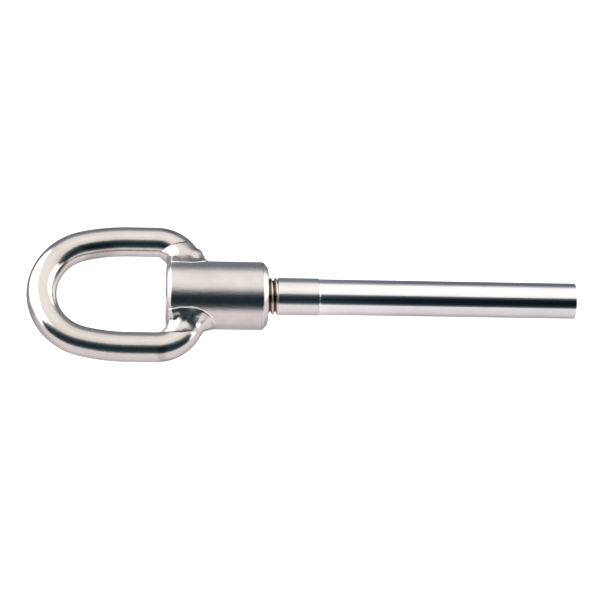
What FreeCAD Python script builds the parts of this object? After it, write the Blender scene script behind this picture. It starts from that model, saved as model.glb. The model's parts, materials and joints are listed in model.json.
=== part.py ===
import FreeCAD, Part
import Sketcher
import os
import re

from FreeCAD import Rotation, Vector

# Swivelling bow end with a swage terminal, for wire rope. Millimetres, +Z up.
#
# The origin is the middle of the mouth of the wire bore. The wire leaves along +X, the bow is at
# the -X end, and the bow lies in the XY plane. The terminal is turned from one bar: a wire socket,
# a collar and a left-hand threaded stud. The stud passes freely through the barrel's lip. Two
# locked nuts on it hold the barrel between two washers, so the barrel and its welded bow swivel.

doc = FreeCAD.newDocument("swivel_bow_terminal")

# ---------------------------------------------------------------------------------------------
# Driving dimensions
# ---------------------------------------------------------------------------------------------

DIMENSIONS = [
    # wire socket and collar
    ("socket_length", 55.05),
    ("socket_radius", 3.8),
    ("socket_edge", 0.2),
    ("wire_bore_radius", 2.2),
    ("wire_bore_depth", 50.0),
    ("wire_bore_tip", 1.3),
    ("wire_bore_mouth", 0.4),
    ("collar_length", 8.95),
    ("collar_radius", 3.97),
    ("collar_edge", 0.25),
    ("step_depth", 0.12),
    ("step_width", 0.25),
    # left-hand thread, 5/16 inch with 24 turns per inch
    ("thread_pitch", 1.058),
    ("thread_crest", 3.97),
    ("thread_root", 3.32),
    ("thread_half_mouth", 0.463),
    ("thread_half_root", 0.088),
    ("thread_running_gap", 0.1),
    ("thread_relief", 0.25),
    ("stud_length", 18.8),
    ("stud_end_chamfer", 0.7),
    # barrel
    ("barrel_length", 21.6),
    ("barrel_radius", 7.25),
    ("barrel_gap", 2.1),
    ("barrel_front_edge", 1.05),
    ("barrel_back_edge", 0.95),
    ("lip_thickness", 3.4),
    ("lip_hole_radius", 4.2),
    ("lip_hole_edge", 0.3),
    ("chamber_radius", 5.5),
    ("chamber_mouth", 0.35),
    # what the chamber holds
    ("washer_gap", 0.05),
    ("washer_radius", 5.4),
    ("washer_hole_radius", 4.15),
    ("thrust_washer_thickness", 0.95),
    ("back_washer_thickness", 0.5),
    ("nut_radius", 5.35),
    ("nut_edge", 0.3),
    ("nut_slot_width", 1.6),
    ("nut_slot_depth", 1.0),
    ("swivel_nut_length", 6.0),
    ("jam_nut_length", 3.5),
    ("ring_gap", 0.1),
    ("ring_thickness", 0.9),
    ("ring_outer_radius", 5.9),
    ("ring_inner_radius", 4.8),
    ("ring_groove_radius", 6.0),
    ("ring_split_angle", 36.0),
    # bow and its welds
    ("bar_radius", 3.175),
    ("bow_half_width", 12.28),
    ("crown_length", 18.4),
    ("crown_radius", 11.45),
    ("bow_inside_length", 23.2),
    ("bow_straight_length", 5.85),
    ("bend_radius", 7.2),
    ("bend_angle", 66.0),
    ("arm_stub_length", 6.0),
    ("weld_height", 2.4),
    ("weld_top_half_length", 3.9),
    ("weld_top_half_width", 3.4),
    ("weld_top_shift", 1.0),
    ("weld_foot_depth", 3.05),
    ("weld_foot_half_length", 6.2),
    ("weld_foot_half_width", 5.5),
    ("weld_foot_shift", -1.8),
]

# Places along the axis and the bow's tangent arcs, worked out from the driving dimensions.
PLACES = [
    ("step_x", "-socket_length"),
    ("collar_x", "step_x - collar_length"),
    ("stud_end_x", "collar_x - stud_length"),
    ("thread_start_x", "stud_end_x - 1.5 * thread_pitch"),
    ("thread_run", "stud_length + 1.5 * thread_pitch - thread_relief / 2"),
    ("barrel_front_x", "collar_x - barrel_gap"),
    ("barrel_back_x", "barrel_front_x - barrel_length"),
    ("chamber_x", "barrel_front_x - lip_thickness"),
    ("thrust_washer_x", "chamber_x - washer_gap"),
    ("swivel_nut_x", "thrust_washer_x - thrust_washer_thickness - washer_gap"),
    ("jam_nut_x", "swivel_nut_x - swivel_nut_length"),
    ("back_washer_x", "jam_nut_x - jam_nut_length - washer_gap"),
    ("ring_x", "back_washer_x - back_washer_thickness - washer_gap"),
    ("ring_groove_back_x", "ring_x - ring_thickness - ring_gap"),
    ("nut_minor_radius", "thread_root + thread_running_gap"),
    ("nut_major_radius", "thread_crest + thread_running_gap"),
    ("crown_x", "barrel_back_x - bow_inside_length - bar_radius"),
    ("straight_x", "crown_x + crown_length"),
    ("bend_x", "straight_x + bow_straight_length"),
    ("shoulder_radius", "((crown_length - crown_radius) ^ 2 + bow_half_width ^ 2 - crown_radius ^ 2)"
                        " / (2 * (bow_half_width - crown_radius))"),
    ("shoulder_angle", "asin((crown_length - crown_radius) / (shoulder_radius - crown_radius)) / 1deg"),
    ("bend_end_x", "bend_x + bend_radius * sin(bend_angle * 1deg)"),
    ("bend_end_y", "bow_half_width - bend_radius * (1 - cos(bend_angle * 1deg))"),
]

sheet = doc.addObject("Spreadsheet::Sheet", "Dimensions")


def fill_sheet():
    for row, (name, value) in enumerate(DIMENSIONS, start=1):
        sheet.set(f"A{row}", name)
        sheet.set(f"B{row}", str(value))
        sheet.setAlias(f"B{row}", name)
    doc.recompute()
    for row, (name, formula) in enumerate(PLACES, start=len(DIMENSIONS) + 1):
        sheet.set(f"A{row}", name)
        sheet.set(f"B{row}", f"={formula}")
        sheet.setAlias(f"B{row}", name)
        doc.recompute()


fill_sheet()
ALIASES = {name for name, _ in DIMENSIONS + PLACES}


# ---------------------------------------------------------------------------------------------
# Helpers
# ---------------------------------------------------------------------------------------------

def on_sheet(expression):
    """The same expression with the sheet's name before each of its aliases."""
    return re.sub(r"[a-z]\w*", name_on_sheet, expression)


def name_on_sheet(match):
    word = match[0]
    return f"Dimensions.{word}" if word in ALIASES else word


def value_of(expression):
    return float(sheet.evalExpression(on_sheet(expression)))


def bind(item, **expressions):
    """Bind an object's properties to expressions over the sheet."""
    for prop, expression in expressions.items():
        item.setExpression(prop.replace("__", "."), on_sheet(expression))


def origin_feature(body, role):
    """One of a body's own origin planes or axes."""
    return next(feature for feature in body.Origin.OriginFeatures if feature.Role == role)


def new_body(label):
    body = doc.addObject("PartDesign::Body", label)
    body.Label = label
    return body


def outline(body, name, points):
    """A closed sketch on the body's XY plane, each corner bound to the sheet.

    Each point is two expressions: the place along the axis and the distance from it.
    """
    sketch = body.newObject("Sketcher::SketchObject", name)
    sketch.AttachmentSupport = [(origin_feature(body, "XY_Plane"), "")]
    sketch.MapMode = "FlatFace"
    corners = [Vector(value_of(px), value_of(py), 0) for px, py in points]
    count = len(corners)
    for i in range(count):
        sketch.addGeometry(Part.LineSegment(corners[i], corners[(i + 1) % count]))
    for i in range(count):
        sketch.addConstraint(Sketcher.Constraint("Coincident", i, 2, (i + 1) % count, 1))
    for i, (px, py) in enumerate(points):
        hold_corner(sketch, i, "DistanceX", px, corners[i].x)
        hold_corner(sketch, i, "DistanceY", py, corners[i].y)
    return sketch


def hold_corner(sketch, line, kind, expression, value):
    """Hold the start of one line at a signed distance from the sketch's origin."""
    index = sketch.addConstraint(Sketcher.Constraint(kind, -1, 1, line, 1, value))
    sketch.setExpression(f"Constraints[{index}]", on_sheet(expression))


def revolve(body, sketch, angle=360):
    feature = body.newObject("PartDesign::Revolution", body.Name + "_turning")
    feature.Profile = sketch
    feature.ReferenceAxis = (origin_feature(body, "X_Axis"), [""])
    feature.Angle = angle
    doc.recompute()
    return feature


def cut_thread(body, sketch, run):
    """Cut a left-hand thread round the X axis with the sketch as the groove's section."""
    before = body.Shape.Volume
    thread = body.newObject("PartDesign::SubtractiveHelix", body.Name + "_thread")
    thread.Profile = sketch
    thread.ReferenceAxis = (origin_feature(body, "X_Axis"), [""])
    thread.Mode = 0
    bind(thread, Pitch="thread_pitch", Height=run)
    thread.LeftHanded = True
    doc.recompute()
    check_removed(body, before)
    return thread


def check_removed(body, before):
    """Stop if the last cut took nothing away."""
    if body.Shape.Volume >= before:
        raise RuntimeError(f"a cut in {body.Label} removed nothing")


def primitive(kind, name, **expressions):
    item = doc.addObject(kind, name)
    bind(item, **expressions)
    return item


# ---------------------------------------------------------------------------------------------
# Swage terminal: wire socket, collar and threaded stud in one piece
# ---------------------------------------------------------------------------------------------

def make_swage_terminal():
    body = new_body("swage_terminal")
    profile = outline(body, "terminal_profile", [
        ("stud_end_x", "0"),
        ("stud_end_x", "thread_crest - stud_end_chamfer"),
        ("stud_end_x + stud_end_chamfer", "thread_crest"),
        ("collar_x - thread_relief", "thread_crest"),
        ("collar_x - thread_relief", "thread_root"),
        ("collar_x", "thread_root"),
        ("collar_x", "collar_radius - collar_edge"),
        ("collar_x + collar_edge", "collar_radius"),
        ("step_x - step_width", "collar_radius"),
        ("step_x", "socket_radius - step_depth"),
        ("step_x + step_depth", "socket_radius"),
        ("-socket_edge", "socket_radius"),
        ("0", "socket_radius - socket_edge"),
        ("0", "wire_bore_radius + wire_bore_mouth"),
        ("-wire_bore_mouth", "wire_bore_radius"),
        ("-wire_bore_depth", "wire_bore_radius"),
        ("-wire_bore_depth - wire_bore_tip", "0"),
    ])
    revolve(body, profile)
    groove = outline(body, "stud_groove", [
        ("thread_start_x - thread_half_mouth", "thread_crest"),
        ("thread_start_x - thread_half_root", "thread_root"),
        ("thread_start_x + thread_half_root", "thread_root"),
        ("thread_start_x + thread_half_mouth", "thread_crest"),
    ])
    cut_thread(body, groove, "thread_run")
    return body


# ---------------------------------------------------------------------------------------------
# Barrel and what it holds
# ---------------------------------------------------------------------------------------------

def make_barrel():
    body = new_body("barrel")
    profile = outline(body, "barrel_profile", [
        ("barrel_front_x", "lip_hole_radius + lip_hole_edge"),
        ("barrel_front_x", "barrel_radius - barrel_front_edge"),
        ("barrel_front_x - barrel_front_edge", "barrel_radius"),
        ("barrel_back_x + barrel_back_edge", "barrel_radius"),
        ("barrel_back_x", "barrel_radius - barrel_back_edge"),
        ("barrel_back_x", "chamber_radius + chamber_mouth"),
        ("barrel_back_x + chamber_mouth", "chamber_radius"),
        ("ring_groove_back_x", "chamber_radius"),
        ("ring_groove_back_x", "ring_groove_radius"),
        ("ring_x", "ring_groove_radius"),
        ("ring_x", "chamber_radius"),
        ("chamber_x", "chamber_radius"),
        ("chamber_x", "lip_hole_radius"),
        ("barrel_front_x - lip_hole_edge", "lip_hole_radius"),
    ])
    revolve(body, profile)
    return body


def make_ring_shape(label, front, thickness, inner, outer, angle=360):
    """A flat ring round the axis, from its front face back."""
    body = new_body(label)
    profile = outline(body, label + "_profile", [
        (front, inner),
        (front, outer),
        (f"{front} - {thickness}", outer),
        (f"{front} - {thickness}", inner),
    ])
    revolve(body, profile, angle)
    return body


def make_washer(label, front, thickness):
    return make_ring_shape(label, front, thickness, "washer_hole_radius", "washer_radius")


def make_snap_ring():
    split = value_of("ring_split_angle")
    ring = make_ring_shape("snap_ring", "ring_x - ring_gap / 2", "ring_thickness",
                           "ring_inner_radius", "ring_outer_radius", 360 - split)
    # the split faces -Z
    ring.Placement.Rotation = Rotation(Vector(1, 0, 0), split / 2 - 90)
    return ring


def make_nut(label, front, length):
    """A round nut with a left-hand thread and a spanner slot across its back face."""
    body = new_body(label)
    back = f"{front} - {length}"
    profile = outline(body, label + "_profile", [
        (front, "nut_minor_radius"),
        (front, "nut_radius - nut_edge"),
        (f"{front} - nut_edge", "nut_radius"),
        (f"{back} + nut_edge", "nut_radius"),
        (back, "nut_radius - nut_edge"),
        (back, "nut_minor_radius"),
    ])
    revolve(body, profile)
    cut_slot(body, back)
    # the groove runs along the stud's crests, half a pitch from the stud's own groove
    centre = "thread_start_x + thread_pitch / 2"
    groove = outline(body, label + "_groove", [
        (f"{centre} - thread_half_root", "nut_major_radius"),
        (f"{centre} - thread_half_mouth", "nut_minor_radius - thread_running_gap"),
        (f"{centre} + thread_half_mouth", "nut_minor_radius - thread_running_gap"),
        (f"{centre} + thread_half_root", "nut_major_radius"),
    ])
    cut_thread(body, groove, "thread_run")
    return body


def cut_slot(body, back):
    """Cut a slot across the nut's back face, through both walls."""
    before = body.Shape.Volume
    sketch = outline(body, body.Name + "_slot_outline", [
        (back, "-nut_radius - nut_edge"),
        (back, "nut_radius + nut_edge"),
        (f"{back} + nut_slot_depth", "nut_radius + nut_edge"),
        (f"{back} + nut_slot_depth", "-nut_radius - nut_edge"),
    ])
    slot = body.newObject("PartDesign::Pocket", body.Name + "_slot")
    slot.Profile = sketch
    slot.Midplane = True
    bind(slot, Length="nut_slot_width")
    doc.recompute()
    check_removed(body, before)


# ---------------------------------------------------------------------------------------------
# Bow: one round bar bent into a D, its two ends coped to the barrel
# ---------------------------------------------------------------------------------------------

def bar_arc(name, radius, sweep, x, y, start_angle):
    """A stretch of the bar bent round (x, y), starting at an angle from +X."""
    arc = primitive("Part::Torus", name, Radius1=radius, Radius2="bar_radius", Angle3=sweep,
                    Placement__Base__x=x, Placement__Base__y=y)
    arc.Placement.Rotation = Rotation(Vector(0, 0, 1), value_of(start_angle))
    return arc


def bar_run(name, length, x, y, direction):
    """A straight stretch of the bar from (x, y) along a direction in the XY plane."""
    run = primitive("Part::Cylinder", name, Radius="bar_radius", Height=length,
                    Placement__Base__x=x, Placement__Base__y=y)
    run.Placement.Rotation = Rotation(Vector(0, 0, 1), direction)
    return run


def make_bow_arm(side, sign):
    """The shoulder, straight, bend and stub of one arm. sign is 1 on +Y and -1 on -Y."""
    tilt = value_of("bend_angle")
    shoulder = value_of("shoulder_angle")
    shoulder_y = f"{sign} * (bow_half_width - shoulder_radius)"
    bend_y = f"{sign} * (bow_half_width - bend_radius)"
    shoulder_start = "90" if sign > 0 else f"270 - {shoulder}"
    bend_start = f"90 - {tilt}" if sign > 0 else "270"
    return [
        bar_arc(f"shoulder_{side}", "shoulder_radius", "shoulder_angle", "straight_x",
                shoulder_y, shoulder_start),
        bar_run(f"straight_{side}", "bow_straight_length", "straight_x",
                f"{sign} * bow_half_width", Vector(1, 0, 0)),
        bar_arc(f"bend_{side}", "bend_radius", "bend_angle", "bend_x", bend_y, bend_start),
        bar_run(f"stub_{side}", "arm_stub_length", "bend_end_x", f"{sign} * bend_end_y",
                Rotation(Vector(0, 0, 1), -sign * tilt).multVec(Vector(1, 0, 0))),
    ]


def make_bow_bar():
    """The whole bar before its ends are coped."""
    crown = bar_arc("crown", "crown_radius", "2 * (90 - shoulder_angle)", "crown_x + crown_radius",
                    "0", "90 + shoulder_angle")
    bar = doc.addObject("Part::MultiFuse", "bow_bar")
    bar.Shapes = [crown] + make_bow_arm("far", 1) + make_bow_arm("near", -1)
    doc.recompute()
    return bar


def make_barrel_blank():
    """The barrel's outside as a plain cylinder, longer at the back, to cope bar and welds."""
    blank = primitive("Part::Cylinder", "cope_tool", Radius="barrel_radius",
                      Height="barrel_length + 2 * barrel_radius",
                      Placement__Base__x="barrel_back_x - 2 * barrel_radius")
    blank.Placement.Rotation = Rotation(Vector(0, 1, 0), 90)
    return blank


def cut(label, base, tool):
    result = doc.addObject("Part::Cut", label)
    result.Base = base
    result.Tool = tool
    doc.recompute()
    return result


# ---------------------------------------------------------------------------------------------
# Welds: a tapered bead round each coped end
# ---------------------------------------------------------------------------------------------

def weld_section(name, half_length, half_width, x, y):
    """An ellipse lying flat to the barrel's side, for one level of a weld."""
    section = primitive("Part::Ellipse", name, MajorRadius=half_length, MinorRadius=half_width,
                        Placement__Base__x=x, Placement__Base__y=y)
    section.Placement.Rotation = Rotation(Vector(1, 0, 0), 90)
    return section


def make_weld(side, sign, bow_bar, blank):
    top = weld_section(f"weld_top_{side}", "weld_top_half_length", "weld_top_half_width",
                       "bend_end_x - weld_top_shift", f"{sign} * (barrel_radius + weld_height)")
    foot = weld_section(f"weld_foot_{side}", "weld_foot_half_length", "weld_foot_half_width",
                        "bend_end_x - weld_foot_shift", f"{sign} * (barrel_radius - weld_foot_depth)")
    bead = doc.addObject("Part::Loft", f"weld_bead_{side}")
    bead.Sections = [top, foot]
    bead.Solid = True
    bead.Ruled = True
    doc.recompute()
    return cut(f"weld_{side}", cut(f"weld_round_bar_{side}", bead, bow_bar), blank)


# ---------------------------------------------------------------------------------------------
# Build, check and write
# ---------------------------------------------------------------------------------------------

bow_bar = make_bow_bar()
barrel_blank = make_barrel_blank()
doc.recompute()

PIECES = [
    make_swage_terminal(),
    make_barrel(),
    cut("bow", bow_bar, barrel_blank),
    make_weld("near", -1, bow_bar, barrel_blank),
    make_weld("far", 1, bow_bar, barrel_blank),
    make_washer("thrust_washer", "thrust_washer_x", "thrust_washer_thickness"),
    make_washer("back_washer", "back_washer_x", "back_washer_thickness"),
    make_nut("swivel_nut", "swivel_nut_x", "swivel_nut_length"),
    make_nut("jam_nut", "jam_nut_x", "jam_nut_length"),
    make_snap_ring(),
]

doc.recompute()
for item in doc.Objects:
    if "Invalid" in item.State or "Error" in item.State:
        raise RuntimeError(f"{item.Label} didn't compute: {item.State}")
for piece in PIECES:
    shape = piece.Shape
    if shape.isNull() or not shape.isValid() or len(shape.Solids) != 1:
        raise RuntimeError(f"{piece.Label} isn't one valid solid")

os.makedirs("parts", exist_ok=True)
for piece in PIECES:
    piece.Shape.exportStep(f"parts/{piece.Label}.step")
    box = piece.Shape.BoundBox
    print(f"{piece.Label:16s} x {box.XMin:8.3f} {box.XMax:8.3f}  y {box.YMin:7.3f} {box.YMax:7.3f}"
          f"  z {box.ZMin:7.3f} {box.ZMax:7.3f}  volume {piece.Shape.Volume:9.2f}")
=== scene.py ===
import json
import math

import bmesh
import bpy
from mathutils import Matrix, Vector
from mathutils.noise import fractal


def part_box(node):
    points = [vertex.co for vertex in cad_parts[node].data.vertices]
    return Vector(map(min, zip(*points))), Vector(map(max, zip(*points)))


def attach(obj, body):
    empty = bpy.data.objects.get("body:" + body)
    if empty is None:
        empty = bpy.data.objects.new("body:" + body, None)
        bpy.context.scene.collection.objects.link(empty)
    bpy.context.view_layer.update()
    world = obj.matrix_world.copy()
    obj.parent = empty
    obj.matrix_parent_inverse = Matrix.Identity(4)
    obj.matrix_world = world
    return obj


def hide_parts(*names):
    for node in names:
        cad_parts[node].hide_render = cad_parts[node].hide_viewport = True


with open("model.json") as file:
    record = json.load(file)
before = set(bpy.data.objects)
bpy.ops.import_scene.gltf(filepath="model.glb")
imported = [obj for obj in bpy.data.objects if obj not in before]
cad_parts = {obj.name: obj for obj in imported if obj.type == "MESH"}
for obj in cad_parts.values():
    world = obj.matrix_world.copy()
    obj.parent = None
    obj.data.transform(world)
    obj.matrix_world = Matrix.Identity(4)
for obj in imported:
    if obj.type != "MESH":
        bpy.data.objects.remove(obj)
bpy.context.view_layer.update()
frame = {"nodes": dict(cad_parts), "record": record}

# The looks of a swivelling bow end with a wire-rope socket, in metres. +X runs out of the wire
# bore, the bow lies in the XY plane and +Z is up.

MM = 0.001


# ---------------------------------------------------------------------------------------------
# Sizes, taken from the frame where it gives them
# ---------------------------------------------------------------------------------------------

def low(node, axis):
    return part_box(node)[0][axis]


def high(node, axis):
    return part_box(node)[1][axis]


MOUNTS = {mount["name"]: mount for mount in frame["record"]["mounts"]}

BARREL_BACK = low("barrel", 0)
BARREL_FRONT = high("barrel", 0)
BARREL_R = high("barrel", 2)
FRONT_EDGE = 1.05 * MM
BACK_EDGE = 0.95 * MM
LIP = 3.4 * MM
LIP_HOLE_R = 4.2 * MM
CHAMBER_R = 5.5 * MM
RING_GROOVE_R = 6.0 * MM
RING_GROOVE = (low("snap_ring", 0) - 0.05 * MM, high("snap_ring", 0) + 0.05 * MM)

SOCKET_R = MOUNTS["socket_outside"]["dims"]["r_mm"] * MM
WIRE_BORE_R = MOUNTS["wire_bore"]["dims"]["r_mm"] * MM
WIRE_BORE_DEPTH = MOUNTS["wire_bore"]["dims"]["length_mm"] * MM
STEP_X = -55.05 * MM
COLLAR_X = BARREL_FRONT + 2.1 * MM
COLLAR_R = high("swage_terminal", 2)
STUD_END = low("swage_terminal", 0)
THREAD_PITCH = 1.058 * MM
THREAD_ROOT = 3.32 * MM
THREAD_CREST = 3.97 * MM

BAR_R = high("bow", 2)
BOW_HALF_WIDTH = high("bow", 1) - BAR_R
BOW_LEFT = low("bow", 0) + BAR_R
CROWN_LENGTH = 18.4 * MM
CROWN_R = 11.45 * MM
STRAIGHT = 5.85 * MM
BEND_R = 7.2 * MM
BEND_ANGLE = math.radians(66)


# ---------------------------------------------------------------------------------------------
# Node helpers
# ---------------------------------------------------------------------------------------------

class Tree:
    """A few short words for building a node tree."""

    def __init__(self, tree):
        self.tree = tree

    def node(self, kind, **settings):
        made = self.tree.nodes.new(kind)
        for name, value in settings.items():
            setattr(made, name, value)
        return made

    def link(self, source, target):
        self.tree.links.new(source, target)

    def math(self, operation, first, second=None):
        made = self.node("ShaderNodeMath", operation=operation)
        for socket, value in zip(made.inputs, (first, second)):
            if value is None:
                continue
            if isinstance(value, (int, float)):
                socket.default_value = value
            else:
                self.link(value, socket)
        return made.outputs[0]


def colour(red, green, blue):
    """A colour given as it looks on a screen, 0 to 255, turned into scene light."""
    def linear(value):
        value = value / 255
        return value / 12.92 if value <= 0.04045 else ((value + 0.055) / 1.055) ** 2.4
    return (linear(red), linear(green), linear(blue), 1.0)


# ---------------------------------------------------------------------------------------------
# Metals
# ---------------------------------------------------------------------------------------------

def metal(name, base, roughness, spread, marks=(1.0, 1.0, 1.0), grain=1500.0, depth=0.02,
          stain=None):
    """A worked metal: tone, roughness and fine marks all vary a little over the surface.

    marks stretches the grain along X, Y and Z. depth is the height of the marks in the bump, in
    millimetres. stain is a second tone that shows in soft patches.
    """
    material = bpy.data.materials.new(name)
    material.use_nodes = True
    tree = Tree(material.node_tree)
    shader = material.node_tree.nodes["Principled BSDF"]
    shader.inputs["Metallic"].default_value = 1.0
    place = tree.node("ShaderNodeTexCoord").outputs["Object"]

    cloud = tree.node("ShaderNodeTexNoise")
    cloud.inputs["Scale"].default_value = 160.0
    cloud.inputs["Detail"].default_value = 4.0
    tree.link(place, cloud.inputs["Vector"])
    tone = tree.node("ShaderNodeValToRGB")
    tone.color_ramp.elements[0].position = 0.35
    tone.color_ramp.elements[0].color = stain or [channel * 0.93 for channel in base[:3]] + [1]
    tone.color_ramp.elements[1].position = 0.62
    tone.color_ramp.elements[1].color = base
    tree.link(cloud.outputs["Fac"], tone.inputs["Fac"])
    tree.link(tone.outputs["Color"], shader.inputs["Base Color"])

    stretch = tree.node("ShaderNodeMapping")
    stretch.inputs["Scale"].default_value = marks
    tree.link(place, stretch.inputs["Vector"])
    fine = tree.node("ShaderNodeTexNoise")
    fine.inputs["Scale"].default_value = grain
    fine.inputs["Detail"].default_value = 3.0
    tree.link(stretch.outputs["Vector"], fine.inputs["Vector"])

    wear = tree.node("ShaderNodeMapRange")
    wear.inputs["To Min"].default_value = max(roughness - spread, 0.01)
    wear.inputs["To Max"].default_value = roughness + spread
    tree.link(fine.outputs["Fac"], wear.inputs["Value"])
    tree.link(wear.outputs["Result"], shader.inputs["Roughness"])

    bump = tree.node("ShaderNodeBump")
    bump.inputs["Strength"].default_value = 0.5
    bump.inputs["Distance"].default_value = depth * MM
    tree.link(fine.outputs["Fac"], bump.inputs["Height"])
    tree.link(bump.outputs["Normal"], shader.inputs["Normal"])
    return material


BRIGHT_STEEL = metal("bright turned steel", (0.97, 0.975, 0.985, 1), 0.07, 0.03,
                     marks=(0.2, 1.0, 1.0), grain=2500.0, depth=0.006)
COLLAR_STEEL = metal("fine turned collar steel", (0.82, 0.80, 0.79, 1), 0.16, 0.04,
                     marks=(1.0, 0.2, 0.2), grain=3600.0, depth=0.014)
SATIN_STEEL = metal("satin barrel steel", (0.73, 0.70, 0.68, 1), 0.16, 0.06,
                    marks=(0.7, 1.0, 1.0), grain=4600.0, depth=0.075,
                    stain=(0.66, 0.63, 0.60, 1))
POLISHED_BAR = metal("polished bar steel", (0.70, 0.665, 0.635, 1), 0.15, 0.04,
                     marks=(0.6, 0.6, 1.0), grain=2200.0, depth=0.020)
POLISHED_WELD = metal("polished weld steel", (0.80, 0.78, 0.76, 1), 0.24, 0.06,
                      grain=1500.0, depth=0.03, stain=(0.68, 0.63, 0.59, 1))
THREAD_STEEL = metal("cut thread steel", (0.80, 0.745, 0.66, 1), 0.16, 0.05,
                     grain=2600.0, depth=0.006, stain=(0.64, 0.53, 0.42, 1))
INNER_STEEL = metal("machined inner steel", (0.66, 0.65, 0.63, 1), 0.32, 0.07,
                    marks=(0.2, 1.0, 1.0), grain=1800.0, depth=0.006)
SPRING_STEEL = metal("dull spring steel", (0.42, 0.41, 0.40, 1), 0.38, 0.06,
                     grain=1800.0, depth=0.005)
BRONZE = metal("plain bronze", (0.70, 0.47, 0.25, 1), 0.30, 0.06,
               grain=1500.0, depth=0.005, stain=(0.50, 0.31, 0.16, 1))


def paint_root_shade(material, root, crest, tone):
    """Paint shade into a thread's roots: full dark tone at the root radius round X, none at the
    crest.
    """
    tree = Tree(material.node_tree)
    shader = material.node_tree.nodes["Principled BSDF"]
    unshaded_colour = shader.inputs["Base Color"].links[0].from_socket
    place = tree.node("ShaderNodeSeparateXYZ")
    tree.link(tree.node("ShaderNodeTexCoord").outputs["Object"], place.inputs["Vector"])
    squares = [tree.math("POWER", place.outputs[axis], 2.0) for axis in "YZ"]
    radius = tree.math("SQRT", tree.math("ADD", *squares))
    height = tree.node("ShaderNodeMapRange")
    height.inputs["From Min"].default_value = root
    height.inputs["From Max"].default_value = crest
    tree.link(radius, height.inputs["Value"])
    mix = tree.node("ShaderNodeMix", data_type="RGBA")
    tree.link(height.outputs["Result"], mix.inputs["Factor"])
    mix.inputs[6].default_value = tone
    tree.link(unshaded_colour, mix.inputs[7])
    tree.link(mix.outputs[2], shader.inputs["Base Color"])


# Painted shade: the thread's roots are darkened in the base colour, where the grooves lie in shade.
paint_root_shade(THREAD_STEEL, THREAD_ROOT, THREAD_CREST - 0.1 * MM, (0.14, 0.09, 0.06, 1))


# ---------------------------------------------------------------------------------------------
# Mesh helpers
# ---------------------------------------------------------------------------------------------

def new_piece(name, points, faces, material):
    mesh = bpy.data.meshes.new(name)
    mesh.from_pydata([tuple(point) for point in points], [], faces)
    mesh.validate()
    mesh.materials.append(material)
    piece = bpy.data.objects.new(name, mesh)
    bpy.context.scene.collection.objects.link(piece)
    face_outwards(piece)
    return piece


MERGE_WITHIN = 0.0001 * MM


def face_outwards(piece):
    """Merge doubled points, turn every face outwards and shade it smooth."""
    work = bmesh.new()
    work.from_mesh(piece.data)
    bmesh.ops.remove_doubles(work, verts=work.verts, dist=MERGE_WITHIN)
    bmesh.ops.recalc_face_normals(work, faces=work.faces)
    for face in work.faces:
        face.smooth = True
    work.to_mesh(piece.data)
    work.free()


def finish_piece(piece, body, slot, *nodes):
    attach(piece, body)
    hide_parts(*nodes)


def rounded_outline(corners, guard=0.18 * MM, steps=6):
    """An outline of (x, r, rounding) corners with each corner an arc between two guard points.

    The guard points keep the shading of long straight runs true up to the rounding.
    """
    outline = []
    count = len(corners)
    for i, (x, r, rounding) in enumerate(corners):
        here = Vector((x, r))
        if rounding == 0:
            outline.append(here)
            continue
        before = Vector(corners[i - 1][:2])
        after = Vector(corners[(i + 1) % count][:2])
        outline.extend(rounded_corner(before, here, after, rounding, guard, steps))
    return outline


def rounded_corner(before, here, after, rounding, guard, steps):
    back = (before - here).normalized()
    on = (after - here).normalized()
    half = math.acos(max(-1.0, min(1.0, back.dot(on)))) / 2
    setback = rounding / math.tan(half)
    centre = here + (back + on).normalized() * (rounding / math.sin(half))
    start = here + back * setback
    end = here + on * setback
    points = []
    if (before - start).length > guard * 1.5:
        points.append(start + back * guard)
    first = start - centre
    sweep = first.angle_signed(end - centre)
    for step in range(steps + 1):
        turn = Matrix.Rotation(-sweep * step / steps, 2)
        points.append(centre + turn @ first)
    if (after - end).length > guard * 1.5:
        points.append(end + on * guard)
    return points


def turned(name, corners, material, around=160, closed=True):
    """A piece turned on a lathe: an outline of (x, r, rounding) corners spun round the X axis."""
    outline = rounded_outline(corners)
    points = []
    for step in range(around):
        angle = 2 * math.pi * step / around
        for x, r in outline:
            points.append((x, r * math.cos(angle), r * math.sin(angle)))
    count = len(outline)
    faces = []
    for step in range(around):
        ahead = (step + 1) % around
        for i in range(count if closed else count - 1):
            j = (i + 1) % count
            faces.append((step * count + i, step * count + j, ahead * count + j, ahead * count + i))
    return new_piece(name, points, faces, material)


def sized_tree(name, steel, sizes):
    """A node tree that takes a line of points, named sizes in metres or turns, and its steel."""
    group = bpy.data.node_groups.new(name, "GeometryNodeTree")
    tree = Tree(group)
    face = group.interface
    face.new_socket("Geometry", in_out="INPUT", socket_type="NodeSocketGeometry")
    for size_name, value in sizes.items():
        socket = face.new_socket(size_name, in_out="INPUT", socket_type="NodeSocketFloat")
        socket.default_value = value
    socket = face.new_socket("Steel", in_out="INPUT", socket_type="NodeSocketMaterial")
    socket.default_value = steel
    face.new_socket("Geometry", in_out="OUTPUT", socket_type="NodeSocketGeometry")
    return group, tree, tree.node("NodeGroupInput")


def laid_along_x(tree, upright, start):
    """Turn a shape that stands along Z to lie along X, and move it to a start on X."""
    lay = tree.node("GeometryNodeTransform")
    lay.inputs["Rotation"].default_value = (0, math.pi / 2, 0)
    where = tree.node("ShaderNodeCombineXYZ")
    tree.link(start, where.inputs["X"])
    tree.link(where.outputs["Vector"], lay.inputs["Translation"])
    tree.link(upright, lay.inputs["Geometry"])
    return lay.outputs["Geometry"]


def finish_tree(tree, shape, given):
    real = tree.node("GeometryNodeRealizeInstances")
    tree.link(shape, real.inputs["Geometry"])
    coat = tree.node("GeometryNodeSetMaterial")
    tree.link(real.outputs["Geometry"], coat.inputs["Geometry"])
    tree.link(given.outputs["Steel"], coat.inputs["Material"])
    out = tree.node("NodeGroupOutput")
    tree.link(coat.outputs["Geometry"], out.inputs["Geometry"])


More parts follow.
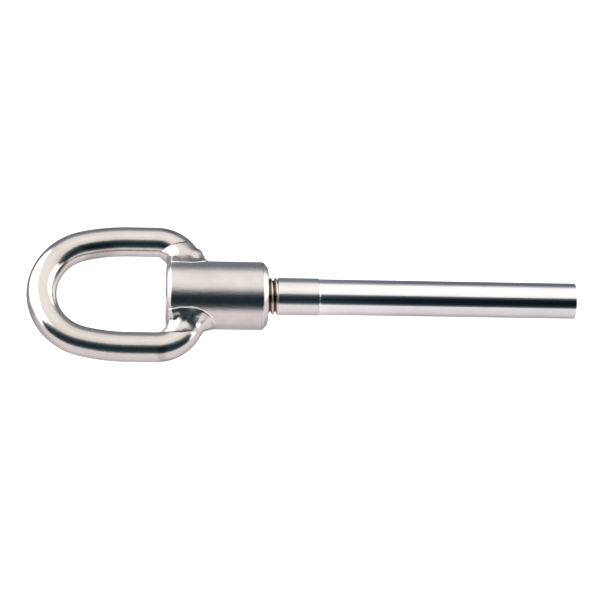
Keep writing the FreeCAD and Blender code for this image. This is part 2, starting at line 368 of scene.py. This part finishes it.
# ---------------------------------------------------------------------------------------------
# Bow
# ---------------------------------------------------------------------------------------------

COPE_OVERLAP = 0.05 * MM

SHOULDER_R = (((CROWN_LENGTH - CROWN_R) ** 2 + BOW_HALF_WIDTH ** 2 - CROWN_R ** 2)
              / (2 * (BOW_HALF_WIDTH - CROWN_R)))
SHOULDER_ANGLE = math.asin((CROWN_LENGTH - CROWN_R) / (SHOULDER_R - CROWN_R))
STRAIGHT_X = BOW_LEFT + CROWN_LENGTH
BEND_X = STRAIGHT_X + STRAIGHT
BEND_CENTRE_Y = BOW_HALF_WIDTH - BEND_R
ARM_END = Vector((BEND_X + BEND_R * math.sin(BEND_ANGLE),
                  BEND_CENTRE_Y + BEND_R * math.cos(BEND_ANGLE), 0))
ARM_WAY = Vector((math.cos(BEND_ANGLE), -math.sin(BEND_ANGLE), 0))


def arc_points(centre_x, centre_y, radius, start, end, steps):
    """Points on an arc, by angles from +X in radians, both ends included."""
    return [Vector((centre_x + radius * math.cos(start + (end - start) * i / steps),
                    centre_y + radius * math.sin(start + (end - start) * i / steps), 0))
            for i in range(steps + 1)]


def bow_path():
    """The middle of the bar, from the middle of the crown round to the far arm's end."""
    half = arc_points(BOW_LEFT + CROWN_R, 0, CROWN_R, math.pi, math.pi / 2 + SHOULDER_ANGLE, 28)
    half += arc_points(STRAIGHT_X, BOW_HALF_WIDTH - SHOULDER_R, SHOULDER_R,
                       math.pi / 2 + SHOULDER_ANGLE, math.pi / 2, 28)[1:]
    half += [Vector((STRAIGHT_X + STRAIGHT * i / 6, BOW_HALF_WIDTH, 0)) for i in range(1, 7)]
    half += arc_points(BEND_X, BEND_CENTRE_Y, BEND_R, math.pi / 2,
                       math.pi / 2 - BEND_ANGLE, 24)[1:]
    half.append(ARM_END + ARM_WAY * 5 * MM)
    mirrored = [Vector((point.x, -point.y, 0)) for point in reversed(half[1:])]
    return mirrored + half


def bent_bar_tree():
    """Sweeps a round bar along the piece's own line and copes its ends to the barrel."""
    group, tree, given = sized_tree("bent round bar", POLISHED_BAR, {
        "Bar Radius": BAR_R, "Barrel Radius": BARREL_R,
        "Barrel Back": BARREL_BACK, "Barrel Front": BARREL_FRONT})
    line = tree.node("GeometryNodeMeshToCurve")
    tree.link(given.outputs["Geometry"], line.inputs["Mesh"])
    upright = tree.node("GeometryNodeSetCurveNormal", mode="Z_UP")
    tree.link(line.outputs["Curve"], upright.inputs["Curve"])
    section = tree.node("GeometryNodeCurvePrimitiveCircle")
    section.inputs["Resolution"].default_value = 72
    tree.link(given.outputs["Bar Radius"], section.inputs["Radius"])
    sweep = tree.node("GeometryNodeCurveToMesh")
    sweep.inputs["Fill Caps"].default_value = True
    tree.link(upright.outputs["Curve"], sweep.inputs["Curve"])
    tree.link(section.outputs["Curve"], sweep.inputs["Profile Curve"])

    # the coping tool runs a barrel's width past its back, and its walls are a hair inside it
    barrel = tree.node("GeometryNodeMeshCylinder")
    barrel.inputs["Vertices"].default_value = 128
    length = tree.math("SUBTRACT", given.outputs["Barrel Front"], given.outputs["Barrel Back"])
    width = tree.math("MULTIPLY", given.outputs["Barrel Radius"], 2.0)
    tree.link(tree.math("ADD", length, width), barrel.inputs["Depth"])
    tree.link(tree.math("SUBTRACT", given.outputs["Barrel Radius"], COPE_OVERLAP),
              barrel.inputs["Radius"])
    ends = tree.math("ADD", given.outputs["Barrel Front"], given.outputs["Barrel Back"])
    middle = tree.math("SUBTRACT", tree.math("MULTIPLY", ends, 0.5), given.outputs["Barrel Radius"])
    cope = tree.node("GeometryNodeMeshBoolean", operation="DIFFERENCE", solver="EXACT")
    tree.link(sweep.outputs["Mesh"], cope.inputs["Mesh 1"])
    tree.link(laid_along_x(tree, barrel.outputs["Mesh"], middle), cope.inputs["Mesh 2"])
    finish_tree(tree, cope.outputs["Mesh"], given)
    return group


def grown(name, points, edges, group):
    """The plain mesh that a node tree makes from a line of points."""
    mesh = bpy.data.meshes.new(name + " line")
    mesh.from_pydata([tuple(point) for point in points], edges, [])
    seed = bpy.data.objects.new(name + " line", mesh)
    bpy.context.scene.collection.objects.link(seed)
    modifier = seed.modifiers.new("shape", "NODES")
    modifier.node_group = group
    for item in group.interface.items_tree:
        if item.in_out == "INPUT" and item.socket_type == "NodeSocketMaterial":
            modifier[item.identifier] = item.default_value
    bpy.context.view_layer.update()
    ready = seed.evaluated_get(bpy.context.evaluated_depsgraph_get())
    result = bpy.data.meshes.new_from_object(ready)
    result.name = name
    piece = bpy.data.objects.new(name, result)
    bpy.context.scene.collection.objects.link(piece)
    seed.modifiers.clear()
    bpy.data.objects.remove(seed)
    face_outwards(piece)
    return piece


def make_bow():
    path = bow_path()
    edges = [(i, i + 1) for i in range(len(path) - 1)]
    bow = grown("bow_bar", path, edges, bent_bar_tree())
    finish_piece(bow, "eye", "polished_bar", "bow")


# ---------------------------------------------------------------------------------------------
# Welds
# ---------------------------------------------------------------------------------------------

WELD_ROUND = 180
WELD_STEPS = 26
WELD_TOE_X = ARM_END.x + 0.3 * MM
WELD_TOE_ANGLE = math.radians(46)

# Each weld: how far it reaches along the barrel, its leg on the bar as a steady part and two
# parts that swing once and twice round the bar, and the hump on its outer side, in millimetres.
WELDS = {
    "near": {"side": -1, "reach": 6.0, "leg": (4.2, 1.9, 0.1), "hump": 0.0, "seed": 5.0},
    "far": {"side": 1, "reach": 4.6, "leg": (5.4, 0.85, -0.2), "hump": 1.0, "seed": 14.0},
}
# A weld's skin between its toes, in millimetres: an even bulge, soft lumps and fine ripples.
WELD_BULGE = 0.22
WELD_LUMPS = 0.42
WELD_RIPPLES = 0.05
LUMPS_PER_METRE = 310
RIPPLES_PER_METRE = 1000
HUMP_MIDDLE = 0.42
HUMP_WIDTH = 0.2


def arm_point(upstream, angle, side):
    """A point on the bar's skin, upstream of the arm's end, at an angle round the bar.

    Angle 0 is the outer side, a quarter turn is +Z and a half turn is the side in the eye.
    """
    if upstream > 0:
        turn = BEND_ANGLE - upstream / BEND_R
        middle = Vector((BEND_X + BEND_R * math.sin(turn),
                         BEND_CENTRE_Y + BEND_R * math.cos(turn), 0))
        outward = Vector((math.sin(turn), math.cos(turn), 0))
    else:
        middle = ARM_END - ARM_WAY * upstream
        outward = Vector((math.sin(BEND_ANGLE), math.cos(BEND_ANGLE), 0))
    point = middle + BAR_R * (outward * math.cos(angle) + Vector((0, 0, 1)) * math.sin(angle))
    return Vector((point.x, point.y * side, point.z))


def barrel_reach(angle, side):
    """How far upstream a line of the bar's skin meets the barrel."""
    near, far = 8 * MM, -8 * MM
    for _ in range(40):
        middle = (near + far) / 2
        point = arm_point(middle, angle, side)
        if math.hypot(point.y, point.z) > BARREL_R:
            near = middle
        else:
            far = middle
    return near


def on_barrel(x, angle, height, side):
    """A point at a height over the barrel's skin; the angle is from the bow's plane."""
    radius = BARREL_R + height
    return Vector((x, side * radius * math.cos(angle), radius * math.sin(angle)))


def barrel_place(point):
    """The reverse of on_barrel: along, round and above the barrel."""
    return (point.x, math.atan2(point.z, abs(point.y)), math.hypot(point.y, point.z) - BARREL_R)


def weld_toe(turn, wobble, reach):
    """Where the weld ends on the barrel: along, round and above its skin."""
    x = WELD_TOE_X + (reach + 0.25 * wobble) * MM * math.cos(turn)
    lean = abs(math.sin(turn)) ** (1.0 if math.cos(turn) > 0 else 0.4)
    angle = math.copysign(WELD_TOE_ANGLE * lean * (1 + 0.04 * wobble), math.sin(turn))
    x = max(x, BARREL_BACK + 0.2 * MM)
    chamfer = max(BARREL_BACK + BACK_EDGE - x, 0)
    return (x, angle, -0.01 * MM - chamfer)


def weld_section(turn, weld):
    """The closed outline of the weld at one angle round the bar, bar toe to barrel toe and back."""
    side = weld["side"]
    seed = weld["seed"]
    steady, once, twice = weld["leg"]
    wobble = fractal(Vector((math.cos(turn) * 1.3, math.sin(turn) * 1.3, seed)), 0.9, 2.0, 3)
    leg = (steady - once * math.cos(turn) - twice * math.cos(2 * turn) + 0.35 * wobble) * MM
    reach = barrel_reach(turn, side)
    bar_toe = barrel_place(arm_point(reach + leg, turn, side))
    root = barrel_place(arm_point(reach, turn, side))
    barrel_toe = weld_toe(turn, wobble, weld["reach"])
    fullness = 0.12 + 0.38 * (1 - math.cos(turn)) / 2
    knee = [b + ((a + c) / 2 - b) * fullness for a, b, c in zip(bar_toe, root, barrel_toe)]
    points = []
    for step in range(WELD_STEPS + 1):
        s = step / WELD_STEPS
        x, angle, height = ((1 - s) ** 3 * a + 3 * s * (1 - s) * b + s ** 3 * c
                            for a, b, c in zip(bar_toe, knee, barrel_toe))
        point = on_barrel(x, angle, height, side)
        lip = math.sin(math.pi * s) ** 0.4
        lumps = fractal(point * LUMPS_PER_METRE + Vector((seed, 0, 0)), 0.9, 2.0, 2)
        ripples = fractal(point * RIPPLES_PER_METRE + Vector((seed, 5, 0)), 0.8, 2.1, 2)
        lift = on_barrel(x, angle, height + 1, side) - point
        rough = lumps * WELD_LUMPS + ripples * WELD_RIPPLES
        rise = WELD_BULGE * lip + rough * math.sin(math.pi * s)
        hump = math.exp(-((s - HUMP_MIDDLE) / HUMP_WIDTH) ** 2) * max(math.cos(turn), 0) ** 2
        rise += weld["hump"] * hump
        points.append(point + lift * rise * MM)
    points.append(on_barrel(barrel_toe[0], barrel_toe[1] * 0.9, barrel_toe[2] - 0.6 * MM, side))
    points.append(arm_inside(reach - 0.5 * MM, turn, side, 0.8))
    points.append(arm_inside(reach + leg, turn, side, 0.9))
    return points


def arm_inside(upstream, turn, side, share):
    """A point under the bar's skin, at a share of its radius."""
    skin = arm_point(upstream, turn, side)
    across = arm_point(upstream, turn + math.pi, side)
    middle = (skin + across) / 2
    return middle + (skin - middle) * share


def make_weld(place):
    weld = WELDS[place]
    sections = [weld_section(2 * math.pi * i / WELD_ROUND, weld) for i in range(WELD_ROUND)]
    count = len(sections[0])
    points = [point for section in sections for point in section]
    faces = []
    for i in range(WELD_ROUND):
        ahead = (i + 1) % WELD_ROUND
        for j in range(count):
            k = (j + 1) % count
            faces.append((i * count + j, i * count + k, ahead * count + k, ahead * count + j))
    bead = new_piece(f"weld_bead_{place}", points, faces, POLISHED_WELD)
    finish_piece(bead, "eye", "polished_weld", f"weld_{place}")


# ---------------------------------------------------------------------------------------------
# Barrel
# ---------------------------------------------------------------------------------------------

def make_barrel():
    barrel = turned("barrel_shell", [
        (BARREL_FRONT, LIP_HOLE_R, 0.25 * MM),
        (BARREL_FRONT, BARREL_R - 1.2 * FRONT_EDGE, 1.0 * MM),
        (BARREL_FRONT - FRONT_EDGE, BARREL_R, 0.9 * MM),
        (BARREL_BACK + BACK_EDGE, BARREL_R, 0.5 * MM),
        (BARREL_BACK, BARREL_R - BACK_EDGE, 0.6 * MM),
        (BARREL_BACK, CHAMBER_R, 0.3 * MM),
        (RING_GROOVE[0], CHAMBER_R, 0.06 * MM),
        (RING_GROOVE[0], RING_GROOVE_R, 0.05 * MM),
        (RING_GROOVE[1], RING_GROOVE_R, 0.05 * MM),
        (RING_GROOVE[1], CHAMBER_R, 0.06 * MM),
        (BARREL_FRONT - LIP, CHAMBER_R, 0.3 * MM),
        (BARREL_FRONT - LIP, LIP_HOLE_R, 0.1 * MM),
    ], SATIN_STEEL, around=192)
    finish_piece(barrel, "eye", "satin_steel", "barrel")


# ---------------------------------------------------------------------------------------------
# Terminal: socket, collar and threaded stud
# ---------------------------------------------------------------------------------------------

def make_socket():
    socket = turned("wire_socket", [
        (STEP_X - 0.18 * MM, 0, 0),
        (STEP_X - 0.18 * MM, COLLAR_R - 0.1 * MM, 0),
        (STEP_X - 0.02 * MM, SOCKET_R - 0.06 * MM, 0.03 * MM),
        (STEP_X + 0.08 * MM, SOCKET_R, 0.03 * MM),
        (0, SOCKET_R, 0.18 * MM),
        (0, WIRE_BORE_R + 0.1 * MM, 0.3 * MM),
        (-0.5 * MM, WIRE_BORE_R, 0.2 * MM),
        (-WIRE_BORE_DEPTH, WIRE_BORE_R, 0.1 * MM),
        (-WIRE_BORE_DEPTH - 1.3 * MM, 0, 0),
    ], BRIGHT_STEEL, around=160, closed=False)
    finish_piece(socket, "terminal", "bright_steel", "swage_terminal")


def make_collar():
    collar = turned("collar", [
        (COLLAR_X, 0, 0),
        (COLLAR_X, COLLAR_R, 0.16 * MM),
        (STEP_X - 0.2 * MM, COLLAR_R, 0.04 * MM),
        (STEP_X - 0.14 * MM, COLLAR_R - 0.15 * MM, 0),
        (STEP_X - 0.14 * MM, 0, 0),
    ], COLLAR_STEEL, around=160, closed=False)
    finish_piece(collar, "terminal", "bright_steel", "swage_terminal")


def make_stud_core():
    core = turned("stud_core", [
        (STUD_END, 0, 0),
        (STUD_END, THREAD_ROOT - 0.1 * MM, 0.05 * MM),
        (STUD_END + 0.1 * MM, THREAD_ROOT, 0.05 * MM),
        (COLLAR_X + 0.3 * MM, THREAD_ROOT, 0.05 * MM),
        (COLLAR_X + 0.3 * MM, 0, 0),
    ], THREAD_STEEL, around=160, closed=False)
    finish_piece(core, "terminal", "bright_steel", "swage_terminal")


def thread_tree():
    """A left-hand ridge wound round the X axis, from the piece's own outline."""
    group, tree, given = sized_tree("left-hand thread", THREAD_STEEL, {
        "Pitch": THREAD_PITCH, "Turns": (COLLAR_X + 0.1 * MM - STUD_END) / THREAD_PITCH,
        "Root Radius": THREAD_ROOT, "Start": STUD_END})
    helix = tree.node("GeometryNodeCurveSpiral")
    helix.inputs["Resolution"].default_value = 72
    helix.inputs["Reverse"].default_value = True
    tree.link(given.outputs["Turns"], helix.inputs["Rotations"])
    for name in ("Start Radius", "End Radius"):
        tree.link(given.outputs["Root Radius"], helix.inputs[name])
    tree.link(tree.math("MULTIPLY", given.outputs["Pitch"], given.outputs["Turns"]),
              helix.inputs["Height"])
    upright = tree.node("GeometryNodeSetCurveNormal", mode="Z_UP")
    tree.link(helix.outputs["Curve"], upright.inputs["Curve"])
    sweep = tree.node("GeometryNodeCurveToMesh")
    sweep.inputs["Fill Caps"].default_value = True
    tree.link(upright.outputs["Curve"], sweep.inputs["Curve"])
    outline = tree.node("GeometryNodeMeshToCurve")
    tree.link(given.outputs["Geometry"], outline.inputs["Mesh"])
    tree.link(outline.outputs["Curve"], sweep.inputs["Profile Curve"])
    laid = laid_along_x(tree, sweep.outputs["Mesh"], given.outputs["Start"])
    finish_tree(tree, laid, given)
    return group


def make_thread():
    """The stud's ridge: its section is given in the sweep's own plane, outwards along X."""
    crest = THREAD_CREST - THREAD_ROOT
    sunk = -0.08 * MM
    section = [(sunk, -0.46), (0, -0.425), (crest - 0.03 * MM, -0.095), (crest, -0.04),
               (crest, 0.04), (crest - 0.03 * MM, 0.095), (0, 0.425), (sunk, 0.46)]
    points = [Vector((out, along * THREAD_PITCH, 0)) for out, along in section]
    edges = [(i, (i + 1) % len(points)) for i in range(len(points))]
    thread = grown("stud_thread", points, edges, thread_tree())
    thread.data.set_sharp_from_angle(angle=math.radians(35))
    finish_piece(thread, "terminal", "bright_steel", "swage_terminal")


# ---------------------------------------------------------------------------------------------
# What the barrel holds: the CAD pieces, in their own metals
# ---------------------------------------------------------------------------------------------

def finish_inner_pieces():
    metals = {"thrust_washer": BRONZE, "back_washer": INNER_STEEL, "swivel_nut": INNER_STEEL,
              "jam_nut": INNER_STEEL, "snap_ring": SPRING_STEEL}
    for node, material in metals.items():
        item = frame["nodes"][node]
        for slot in item.material_slots:
            slot.material = material


# ---------------------------------------------------------------------------------------------
# Studio: floor, light all round and camera
# ---------------------------------------------------------------------------------------------

FLOOR_HALF = 3.0
FLOOR_GAP = 0.3 * MM


def make_floor():
    """A plain sheet, low enough for the bow to swivel above it."""
    level = -BOW_HALF_WIDTH - BAR_R - FLOOR_GAP
    sheet = bpy.data.meshes.new("floor")
    sheet.from_pydata([(x * FLOOR_HALF, y * FLOOR_HALF, level)
                       for x, y in ((-1, -1), (1, -1), (1, 1), (-1, 1))], [], [(0, 1, 2, 3)])
    floor = bpy.data.objects.new("floor", sheet)
    bpy.context.scene.collection.objects.link(floor)
    paper = bpy.data.materials.new("pale floor")
    paper.use_nodes = True
    shader = paper.node_tree.nodes["Principled BSDF"]
    shader.inputs["Base Color"].default_value = (0.5, 0.5, 0.5, 1)
    shader.inputs["Roughness"].default_value = 0.9
    shader.inputs["Emission Color"].default_value = (1.0, 1.0, 1.0, 1)
    shader.inputs["Emission Strength"].default_value = 0.75
    shader.inputs["Specular IOR Level"].default_value = 0.1
    sheet.materials.append(paper)
    floor.visible_glossy = False


ROOM_STRENGTH = 2.0
SOFTBOX_EDGE = 0.05      # how softly each end softbox begins
WIRE_END_START = (0.06, 0.12)      # the share of +X where the wire end's tones rise and fall
WIRE_END_STOP = (0.34, 0.24)


def glow(red, green, blue, power=1.15):
    """Room light that looks like this colour on a screen when the power is 1."""
    return tuple(channel * power / ROOM_STRENGTH for channel in colour(red, green, blue)[:3]) + (1.0,)


# The light seen in each direction round the long axis: degrees from the near horizon up over the
# top and down the far side, the colour there at the bow's end and at the wire's end, how far out
# to the -X and +X side it reaches before the two end softboxes begin, and their colour.
ROOM_WHITE = (1.0, 1.0, 1.0, 1.0)
ROOM_BANDS = [
    (-180, glow(122, 128, 138), glow(96, 102, 112), 0.50, 0.64, ROOM_WHITE),
    (-150, glow(124, 128, 138), glow(100, 104, 114), 0.68, 0.64, glow(255, 252, 252, 1.5)),
    (-128, glow(132, 134, 142), glow(112, 113, 121), 0.88, 0.62, glow(236, 228, 230)),
    (-105, glow(154, 154, 160), glow(134, 132, 140), 1.00, 0.60, glow(230, 221, 223)),
    (-75, glow(200, 194, 197), glow(170, 165, 168), 1.00, 0.70, glow(230, 221, 223)),
    (-30, glow(236, 228, 230), glow(206, 199, 201), 1.00, 0.88, glow(236, 227, 229)),
    (10, glow(242, 234, 235), glow(216, 208, 210), 0.95, 0.92, glow(242, 234, 235)),
    (19, glow(124, 132, 136), glow(78, 88, 92), 0.90, 0.90, ROOM_WHITE),
    (29, glow(46, 64, 70), glow(20, 32, 38), 0.90, 0.88, ROOM_WHITE),
    (50, glow(26, 44, 53), glow(8, 17, 22), 0.90, 0.88, ROOM_WHITE),
    (66, glow(50, 64, 70), glow(24, 34, 38), 0.88, 0.87, ROOM_WHITE),
    (76, glow(102, 110, 112), glow(76, 84, 86), 0.70, 0.79, ROOM_WHITE),
    (88, glow(236, 232, 228, 1.2), glow(236, 232, 228, 1.2), 0.46, 0.70, ROOM_WHITE),
    (115, glow(255, 251, 246, 1.2), glow(255, 251, 246, 1.2), 0.40, 0.68, ROOM_WHITE),
    (150, glow(240, 236, 232, 1.2), glow(240, 236, 232, 1.2), 0.42, 0.66, ROOM_WHITE),
    (168, glow(160, 163, 168), glow(150, 152, 156), 0.46, 0.64, ROOM_WHITE),
    (180, glow(122, 128, 138), glow(96, 102, 112), 0.50, 0.64, ROOM_WHITE),
]


def banded(tree, share, stops):
    """A soft ramp over the share of a full turn, with a colour or a level at each stop."""
    bands = tree.node("ShaderNodeValToRGB")
    ramp = bands.color_ramp
    ramp.interpolation = "EASE"
    while len(ramp.elements) < len(stops):
        ramp.elements.new(0.5)
    for element, (degrees, tone) in zip(ramp.elements, stops):
        element.position = degrees / 360 + 0.5
        element.color = (tone, tone, tone, 1) if isinstance(tone, float) else tone
    tree.link(share, bands.inputs["Fac"])
    return bands.outputs["Color"]


def soft_step(tree, value, low_edge, high_edge):
    """0 under the low edge and 1 over the high edge, with a smooth rise between."""
    rise = tree.node("ShaderNodeMapRange", interpolation_type="SMOOTHSTEP")
    rise.inputs["From Min"].default_value = low_edge
    rise.inputs["From Max"].default_value = high_edge
    tree.link(value, rise.inputs["Value"])
    return rise.outputs["Result"]


def blended(tree, factor, first, second):
    mix = tree.node("ShaderNodeMix", data_type="RGBA")
    tree.link(factor, mix.inputs["Factor"])
    for socket, value in zip((mix.inputs[6], mix.inputs[7]), (first, second)):
        if isinstance(value, tuple):
            socket.default_value = value
        else:
            tree.link(value, socket)
    return mix.outputs[2]


def make_room_light():
    """Soft light from all round: bands along the object, and a white softbox past each end."""
    world = bpy.data.worlds.new("studio room")
    bpy.context.scene.world = world
    world.use_nodes = True
    tree = Tree(world.node_tree)
    sky = world.node_tree.nodes["Background"]
    way = tree.node("ShaderNodeSeparateXYZ")
    tree.link(tree.node("ShaderNodeTexCoord").outputs["Generated"], way.inputs["Vector"])
    along = way.outputs["X"]
    near = tree.math("MULTIPLY", way.outputs["Y"], -1.0)
    angle = tree.math("ARCTAN2", way.outputs["Z"], near)
    share = tree.math("ADD", tree.math("DIVIDE", angle, 2 * math.pi), 0.5)

    bow_end, wire_end, left_reach, right_reach, box_tone = (
        banded(tree, share, [(band[0], band[column]) for band in ROOM_BANDS])
        for column in (1, 2, 3, 4, 5))
    back_along = tree.math("MULTIPLY", along, -1.0)
    left_box, right_box = (
        soft_step(tree, tree.math("SUBTRACT", way_out, reach), 0.0, SOFTBOX_EDGE)
        for way_out, reach in ((back_along, left_reach), (along, right_reach)))
    past_collar = tree.math("MULTIPLY", soft_step(tree, along, *WIRE_END_START),
                            soft_step(tree, along, *WIRE_END_STOP))
    toned = blended(tree, past_collar, bow_end, wire_end)
    toned = blended(tree, left_box, toned, box_tone)
    toned = blended(tree, right_box, toned, box_tone)
    tree.link(toned, sky.inputs["Color"])
    sky.inputs["Strength"].default_value = ROOM_STRENGTH


SOFTBOX_PLACE = Vector((-0.06, -0.1, 1.0))
SOFTBOX_AIM = Vector((-0.06, 0, 0))


def make_top_softbox():
    light = bpy.data.lights.new("top softbox", "AREA")
    light.size = 0.8
    light.energy = 9.0
    lamp = bpy.data.objects.new("top softbox", light)
    bpy.context.scene.collection.objects.link(lamp)
    lamp.location = SOFTBOX_PLACE
    lamp.rotation_euler = (SOFTBOX_AIM - SOFTBOX_PLACE).to_track_quat("-Z", "Y").to_euler()
    lamp.visible_glossy = False


CAMERA_WAY = Vector((-0.073, -0.4163, 0.9063))      # from the object to the camera
CAMERA_DISTANCE = 0.5406
CAMERA_ROLL = math.radians(0.93)
OBJECT_MIDDLE = Vector((-0.0585, 0, 0))


def make_camera():
    """A long lens above and in front, turned a little towards the bow's end."""
    back = CAMERA_WAY.normalized()
    along = (Vector((1, 0, 0)) - back * back.x).normalized()
    right = Matrix.Rotation(CAMERA_ROLL, 3, back) @ along
    up = back.cross(right)
    lens = bpy.data.cameras.new("camera")
    lens.lens = 150
    lens.sensor_width = 36
    lens.clip_start = 0.01
    lens.clip_end = 20
    camera = bpy.data.objects.new("camera", lens)
    bpy.context.scene.collection.objects.link(camera)
    middle = OBJECT_MIDDLE - up * 1.55 * MM + right * 0.2 * MM
    camera.matrix_world = (Matrix.Translation(middle + back * CAMERA_DISTANCE)
                           @ Matrix((right, up, back)).transposed().to_4x4())
    bpy.context.scene.camera = camera


# ---------------------------------------------------------------------------------------------
# Make everything
# ---------------------------------------------------------------------------------------------

make_camera()
make_floor()
make_room_light()
make_top_softbox()
bpy.context.scene.view_settings.view_transform = "Standard"

make_bow()
make_weld("near")
make_weld("far")
make_barrel()
make_socket()
make_collar()
make_stud_core()
make_thread()
finish_inner_pieces()
